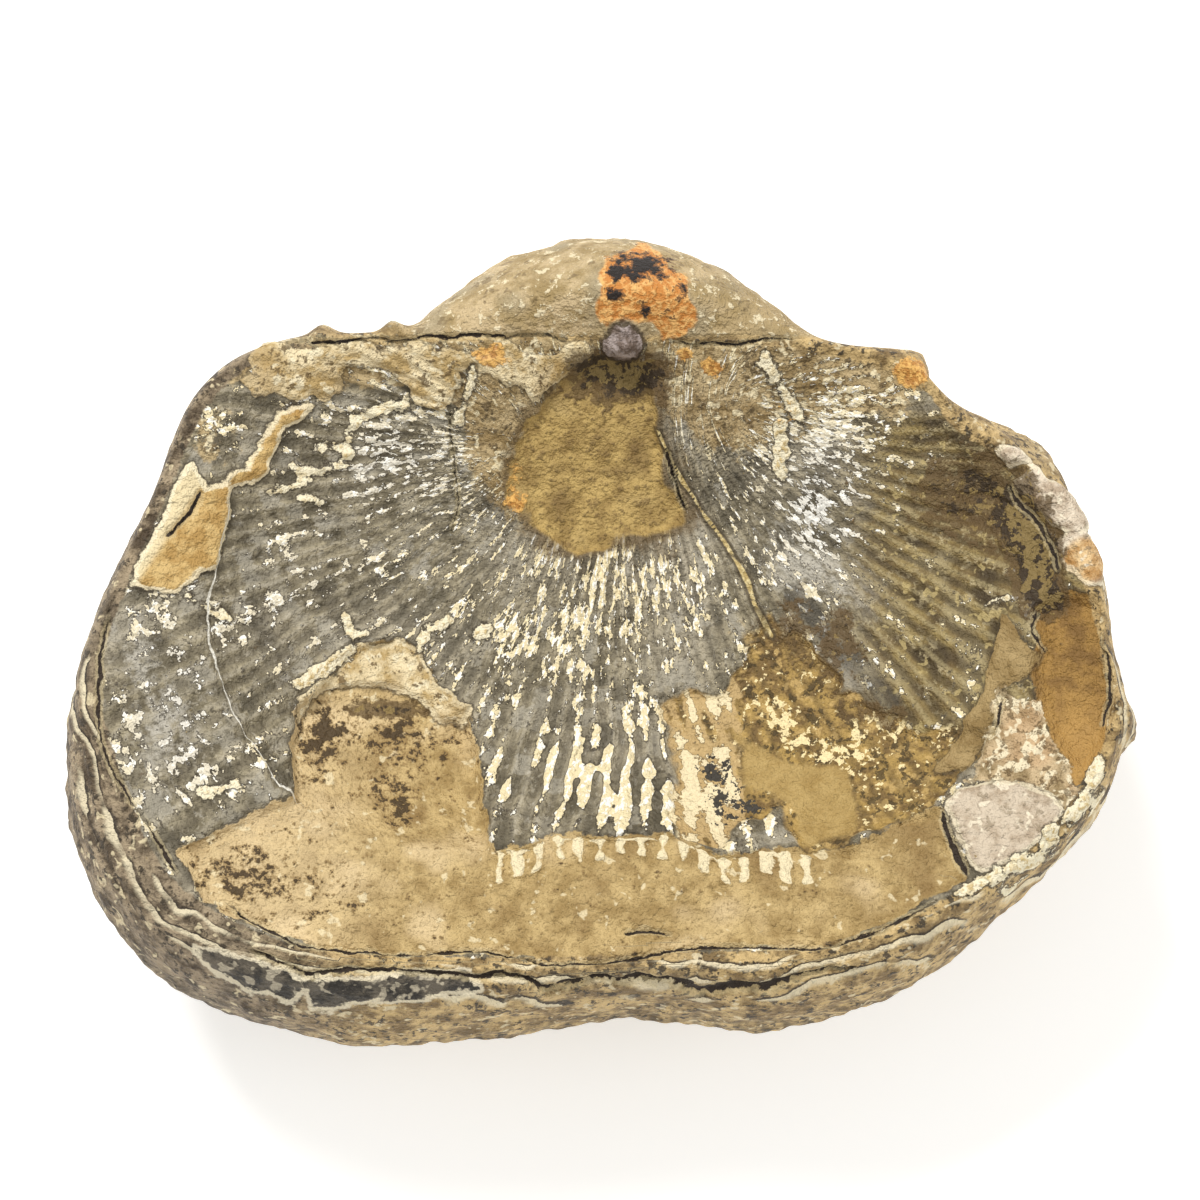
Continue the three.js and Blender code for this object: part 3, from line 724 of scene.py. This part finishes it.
# pale flakes left on the rib crests, each with a thin shadow line
amount = add("Mix", read["barred"], dash, read["bars"])
amount = add("Math", crest, 0.045, amount, operation="MULTIPLY_ADD")
amount = add("Math", read["flaky"], 0.30, amount, operation="MULTIPLY_ADD")
amount = add("Math", drift, 0.45, amount, operation="MULTIPLY_ADD")
amount = add("Math", fine, 0.16, amount, operation="MULTIPLY_ADD")
amount = add("Math", amount, 0.03, operation="ADD")
flake_colour = lay("#dcd8cf", "#ecdaab", read["warm"], 0.0, 1.0)
flake_colour = lay(flake_colour, "#fffbee", fleck, 0.50, 0.60)
shell = lay(shell, "#3a3122", amount, 0.95, 1.0, 0.8)
shell = lay(shell, flake_colour, amount, 1.01, 1.025)
shell = lay(shell, "#45413a", read["streak"], 0.2, 0.8, 0.6)

# tan mud, with stains and pinholes; darker on the right; brown in the side pocket
tan = lay("#9c804c", "#c6aa72", medium, 0.34, 0.66)
tan = lay(tan, "#dcc292", blotch, 0.5, 0.85, 0.8)
tan = lay(tan, "#e6cd9f", read["to_left"], 0.0, 0.8, 0.5)
tan = lay(tan, "#86693a", blotch, 0.38, 0.12, 0.7)
tan = lay(tan, "#8a6f3f", fine, 0.56, 0.70, 0.5)
tan = lay(tan, "#f0e0b6", curl, 0.62, 0.68, 0.6)
pits = add("Math", read["pitted"], 0.22, pore, operation="MULTIPLY_ADD")
tan = lay(tan, "#866a3c", pits, 0.62, 0.69, 0.7)
tan = lay(tan, "#3d2d15", pits, 0.70, 0.74, 0.9)
# cream rib ends, and the cream edge that is a painted highlight on the step
rib_ends_and_step_highlight = add("Math", fine, 0.5, read["tabs"], operation="MULTIPLY_ADD")
tan = lay(tan, "#f1e1b8", rib_ends_and_step_highlight, 0.88, 1.02, 0.9)
# olive mud of the worn patch
olive = lay("#947841", "#bea05f", medium, 0.37, 0.63)
olive = lay(olive, "#b79d66", blotch, 0.5, 0.9, 0.7)
olive = lay(olive, "#6b5229", blotch, 0.38, 0.12, 0.5)
olive = lay(olive, "#6f552c", pore, 0.55, 0.64, 0.5)
olive = lay(olive, "#725c31", fine, 0.55, 0.7, 0.6)
# clotted mud on the right, with crystalline crumbs, cream bars and dark gaps
clotted = lay("#735a30", "#b0904f", medium, 0.38, 0.62)
clotted = lay(clotted, "#c9a868", curl, 0.53, 0.60, 0.7)
clotted = lay(clotted, "#54421f", crest, 0.0, -0.8, 0.4)
clotted = lay(clotted, "#433516", pore, 0.53, 0.60, 0.85)
crumbs = add("Math", read["golden"], 0.12, lumps["rag"], operation="MULTIPLY_ADD")
clotted = lay(clotted, "#f4dfa8", crumbs, 0.61, 0.65)
barred_mud = add("Math", fine, 0.4, read["mud_bars"], operation="MULTIPLY_ADD")
clotted = lay(clotted, "#c4a671", barred_mud, 0.50, 0.60, 0.9)
clotted = lay(clotted, "#54452b", barred_mud, 0.715, 0.73, 0.7)
clotted = lay(clotted, "#f0deb3", barred_mud, 0.74, 0.76, 0.95)
slot = add("Math", read["slots"], 0.24, add("Mix", 0.4, lumps["rag"], fine), operation="MULTIPLY_ADD")
clotted = lay(clotted, "#3d382f", slot, 0.66, 0.69)

# mud laid over the shell zone by zone, with a brown halo round the worn patch
halo = add("Math", medium, 4.0, read["worn_patch"], operation="MULTIPLY_ADD")
shell = lay(shell, "#6a5430", halo, 0.4, 1.9, 0.75)
surface = lay(shell, clotted, ragged_edge("side_mud"), -0.25, 0.25)
surface = lay(surface, lay("#a28449", "#b79a5e", medium, 0.3, 0.7), ragged_edge("pool"), -0.3, 0.3)
surface = lay(surface, olive, ragged_edge("worn_patch"), -0.25, 0.25)
pocket_mud = lay("#7b5a28", "#a07a3c", medium, 0.36, 0.62)
pocket_mud = lay(pocket_mud, "#bd9350", read["to_front"], 0.3, 1.0, 0.75)
for name, coat, edge, rim in [
    ("infill", tan, 0.06, 0.45),
    ("pocket", pocket_mud, 0.1, 0.6),
    ("strip", lay("#8a7040", "#ab9160", medium, 0.35, 0.65), 0.06, 0.6),
]:
    depth = ragged_edge(name)
    surface = lay(surface, "#3f3524", depth, -0.26, -0.04, rim)
    surface = lay(surface, coat, depth, -edge, edge)

# rough outside and split layers: taupe on the left, khaki in front
rough = lay("#7b633b", "#ceb078", medium, 0.36, 0.62)
rough = lay(rough, lay("#4c3d29", "#a59275", medium, 0.36, 0.64), read["to_left"], 0.2, 0.9)
rough = lay(rough, "#8d8069", broad, 0.5, 1.0, 0.3)
below = add("MapRange", read["height"], 21.0, 15.0)
for colour, field, start, full, most in [
    ("#4a3e2a", crest, 0.1, -0.9, 0.6), ("#57492f", read["wrinkle"], -0.1, -0.9, 0.55),
    ("#c9b68c", read["wrinkle"], 0.5, 1.1, 0.4),
]:
    rough = lay(rough, colour, field, start, full, add("Math", below, most, operation="MULTIPLY"))
speckled = add("MapRange", read["on_back"], 0.0, 1.0, 0.9, 0.25)
rough = lay(rough, "#382c1b", fine, 0.55, 0.66, add("Math", speckled, 0.6, operation="MULTIPLY"))
rough = lay(rough, "#3e3424", pore, 0.55, 0.62, speckled)
rough = lay(rough, "#decda5", curl, 0.60, 0.66, add("Math", speckled, 0.9, operation="MULTIPLY"))
step_part = add("Math", ragged, 0.15, read["layer"], operation="MULTIPLY_ADD")
step_part = add("Math", step_part, operation="FRACT")
# each split layer: a pale band on its tread, and at its foot a dark line that is partly the real gap
# and partly painted shadow under the overhanging layer
leaf = lay(rough, "#e9dbb8", step_part, 0.34, 0.12, 0.8)
leaf = lay(leaf, "#30261a", step_part, 0.84, 0.95, 0.9)
split = add("Math", blotch, 1.1, read["layered"], operation="MULTIPLY_ADD")
rough = lay(rough, leaf, split, 1.35, 1.5)
surface = lay(surface, rough, ragged_edge("flank"), -0.75, -0.55)

# slate-dark stone with pale broken edges
slate_depth = add("Math", ragged, 0.5, read["slate"], operation="MULTIPLY_ADD")
slate_coat = lay(lay("#2f2a22", "#645b4c", medium, 0.4, 0.6), "#b9ad94", curl, 0.55, 0.61, 0.8)
surface = lay(surface, "#e6d9ba", slate_depth, -0.42, -0.22, 0.85)
surface = lay(surface, slate_coat, slate_depth, -0.08, 0.05)

# crusts and slivers, each with a dark hairline round it and a pale lip just inside its edge, painted as
# a highlight
crust = lay("#b89c66", "#ead7ac", medium, 0.38, 0.60)
crust = lay(crust, "#a78850", blotch, 0.50, 0.85, 0.75)
crust = lay(crust, "#f3e6c2", curl, 0.56, 0.64, 0.7)
crust = lay(crust, "#6b5531", pore, 0.56, 0.62, 0.85)
pinkish = lay("#b5a086", "#e6d6bd", medium, 0.36, 0.60)
pinkish = lay(pinkish, lay("#b08247", "#e2c08c", medium, 0.4, 0.6), read["lower_knob"], 0.35, 0.65)
pinkish = lay(pinkish, "#ac987d", read["to_front"], 0.5, 1.0, 0.4)
pinkish = lay(pinkish, "#eee0c4", curl, 0.59, 0.66, 0.9)
pinkish = lay(pinkish, "#8c7a5f", pore, 0.56, 0.64, 0.6)
flaked = lay("#8f7850", "#cbb289", medium, 0.36, 0.64)
flaked = lay(flaked, "#cda67a", blotch, 0.52, 0.70, 0.45)
flaked = lay(flaked, "#efe0bc", curl, 0.50, 0.56, 0.9)
flaked = lay(flaked, "#6a5431", pore, 0.54, 0.60, 0.8)
ear_calcite = lay("#b38d4d", "#d3b273", medium, 0.38, 0.6)
ear_calcite = lay("#e6d3a6", ear_calcite, read["ear_ochre"], -0.3, 0.3)
for name, coat, rim, edge_highlight in [
    ("hinge_crust", crust, 0.5, 0.1),
    ("arch_crust", crust, 0.7, 0.3),
    ("right_flakes", flaked, 0.25, 0.1),
    ("plate", pinkish, 0.5, 0.5),
    ("ear_patch", ear_calcite, 0.8, 0.7),
    ("slivers", lay("#f1e5c4", "#cfb680", fine, 0.48, 0.60), 0.9, 0.5),
]:
    depth = ragged_edge(name)
    if name in ("slivers", "right_flakes"):
        depth = add("Math", ragged, 0.40, depth, operation="MULTIPLY_ADD")
    # the pale lip: a painted highlight along the raised edge
    coat = lay(coat, "#f8ecc9", depth, 0.36, 0.20, edge_highlight)
    surface = lay(surface, "#3f3524", depth, -0.26, -0.04, rim)
    surface = lay(surface, coat, depth, -0.06, 0.06)

# painted shade in the recesses, with crumbs of paler mud in it
painted_shade = add("Math", read["recess"], 0.42, add("Mix", 0.5, pore, medium), operation="MULTIPLY_ADD")
surface = lay(surface, "#5d4724", painted_shade, 0.62, 0.72, 0.85)
surface = lay(surface, "#2f2210", painted_shade, 0.80, 0.86, 0.85)
crumbled = add("Math", read["recess"], 0.25, lumps["rag"], operation="MULTIPLY_ADD")
surface = lay(surface, "#8f7845", crumbled, 0.74, 0.78, 0.8)

# the straw-coloured thread
surface = lay(surface, "#43361f", read["thread"], -0.30, -0.10, 0.75)
surface = lay(surface, lay("#b59c62", "#e3cf98", fine, 0.4, 0.6), read["thread"], -0.04, 0.04)

# stained umbo, rust, and the tooth at the beak
umbo_coat = lay("#9d8556", "#c9b186", medium, 0.35, 0.65)
umbo_coat = lay(umbo_coat, "#a39679", blotch, 0.5, 0.8, 0.6)
umbo_coat = lay(umbo_coat, "#9c8454", read["to_right"], 0.0, 1.0, 0.6)
umbo_coat = lay(umbo_coat, "#efe0ba", pore, 0.57, 0.63, 0.75)
umbo_coat = lay(umbo_coat, "#6d5935", curl, 0.60, 0.66, 0.6)
surface = lay(surface, umbo_coat, read["umbo_zone"], 0.0, 1.0)
surface = lay(surface, lay("#c98238", "#eab56c", fine, 0.4, 0.6), ragged_edge("rust"), -0.15, 0.15)
black = add("Math", pore, 1.1, read["dots"], operation="MULTIPLY_ADD")
surface = lay(surface, "#5a3516", black, 0.92, 0.98, 0.85)
surface = lay(surface, "#1d1209", black, 1.02, 1.06)
rust_spots = add("Math", pore, 1.5, read["rusty"], operation="MULTIPLY_ADD")
surface = lay(surface, lay("#b57729", "#ebb662", fine, 0.42, 0.58), rust_spots, 1.12, 1.32, 0.85)
tooth = add("Math", ragged, 0.3, read["tooth"], operation="MULTIPLY_ADD")
surface = lay(surface, "#2f2010", tooth, 0.30, 0.42, 0.85)
surface = lay(surface, lay("#6b5a4e", "#b0a19a", medium, 0.42, 0.58), tooth, 0.46, 0.52)

# the pale step line on the left, a painted highlight on the lit edge of the step, then every crack with
# its pale lips
step = add("Math", ragged, 0.15, read["step_side"], operation="MULTIPLY_ADD")
step = add("Math", read["step_highlight"], add("Math", step, operation="ABSOLUTE"), operation="SUBTRACT")
surface = lay(surface, "#f6f1e2", step, 0.88, 0.94, 0.9)
gap = add("Math", ragged, 0.30, read["crack_side"], operation="MULTIPLY_ADD")
gap = add("Math", gap, operation="ABSOLUTE")
gap = add("Math", gap, -2.0, read["crack_width"], operation="MULTIPLY_ADD")
gap = add("Math", medium, 0.8, add("Math", gap, -0.4, operation="ADD"), operation="MULTIPLY_ADD")
here = add("MapRange", read["crack_width"], 0.05, 0.12)
surface = lay(surface, "#e2cf9f", gap, -0.45, -0.25, add("Math", here, 0.35, operation="MULTIPLY"))
surface = lay(surface, "#33271a", gap, -0.05, 0.06, here)

tree.links.new(surface, skin.inputs["Base Color"])
skin.inputs["Roughness"].default_value = 0.72
skin.inputs["IOR"].default_value = 1.5

# small dents and grains, in millimetres deep
dents = add("Math", pore, 0.36, operation="MULTIPLY")
dents = add("Math", fine, 0.26, dents, operation="MULTIPLY_ADD")
bump = add("Bump", named={"Strength": 1.0, "Distance": MM, "Height": dents})
tree.links.new(bump, skin.inputs["Normal"])
shell_mesh.materials.append(stone)

# ---------------------------------------------------------------- floor
# A sheet of white card on a light table. It lies loose under the fossil, and glows
# just enough from below to thin the shadow.
card_mesh = bpy.data.meshes.new("card")
CARD_HALF_WIDTH = 1.5
card = bmesh.new()
bmesh.ops.create_grid(card, x_segments=1, y_segments=1, size=CARD_HALF_WIDTH)
card.to_mesh(card_mesh)
card.free()
floor = bpy.data.objects.new("floor_card", card_mesh)
bpy.context.scene.collection.objects.link(floor)

# uncoated white card: matt and even, a hair warm where it glows
paper = bpy.data.materials.new("white_card")
paper.use_nodes = True
paper_skin = paper.node_tree.nodes["Principled BSDF"]
for socket, value in [
    ("Base Color", linear("#fcfcfb")), ("Emission Color", linear("#fffdf8")),
    ("Emission Strength", 0.33), ("Roughness", 0.9),
]:
    paper_skin.inputs[socket].default_value = value
card_mesh.materials.append(paper)

# ---------------------------------------------------------------- light
# Two soft lamps, one high behind the hinge on the left and a weak one at the right
# front, in a bright white room.
world = bpy.context.scene.world or bpy.data.worlds.new("room")
bpy.context.scene.world = world
world.use_nodes = True
room = world.node_tree.nodes["Background"]
room.inputs["Color"].default_value = (1, 1, 1, 1)
room.inputs["Strength"].default_value = 0.60
bpy.context.scene.view_settings.view_transform = "Standard"


def lamp(name, place, size, power):
    light = bpy.data.lights.new(name, "AREA")
    light.size = size
    light.energy = power
    holder = bpy.data.objects.new(name, light)
    bpy.context.scene.collection.objects.link(holder)
    holder.location = place
    holder.rotation_euler = (-holder.location).to_track_quat("-Z", "Y").to_euler()


lamp("key_lamp", (-0.25, 0.45, 0.75), 0.25, 6.0)
lamp("fill_lamp", (0.5, -0.2, 0.7), 0.6, 1.5)

# ---------------------------------------------------------------- camera
# Nearly overhead and tipped a little to the front, with a long lens that keeps the
# outline close to its plan.
TILT = math.radians(10)
DISTANCE = 0.330
AIM = (0.0, 0.0030, 0.017)
eye = bpy.data.cameras.new("camera")
eye.lens = 140
eye.sensor_width = 36
camera = bpy.data.objects.new("camera", eye)
bpy.context.scene.collection.objects.link(camera)
camera.location = (AIM[0], AIM[1] - DISTANCE * math.sin(TILT), AIM[2] + DISTANCE * math.cos(TILT))
camera.rotation_euler = (TILT, 0, 0)
bpy.context.scene.camera = camera
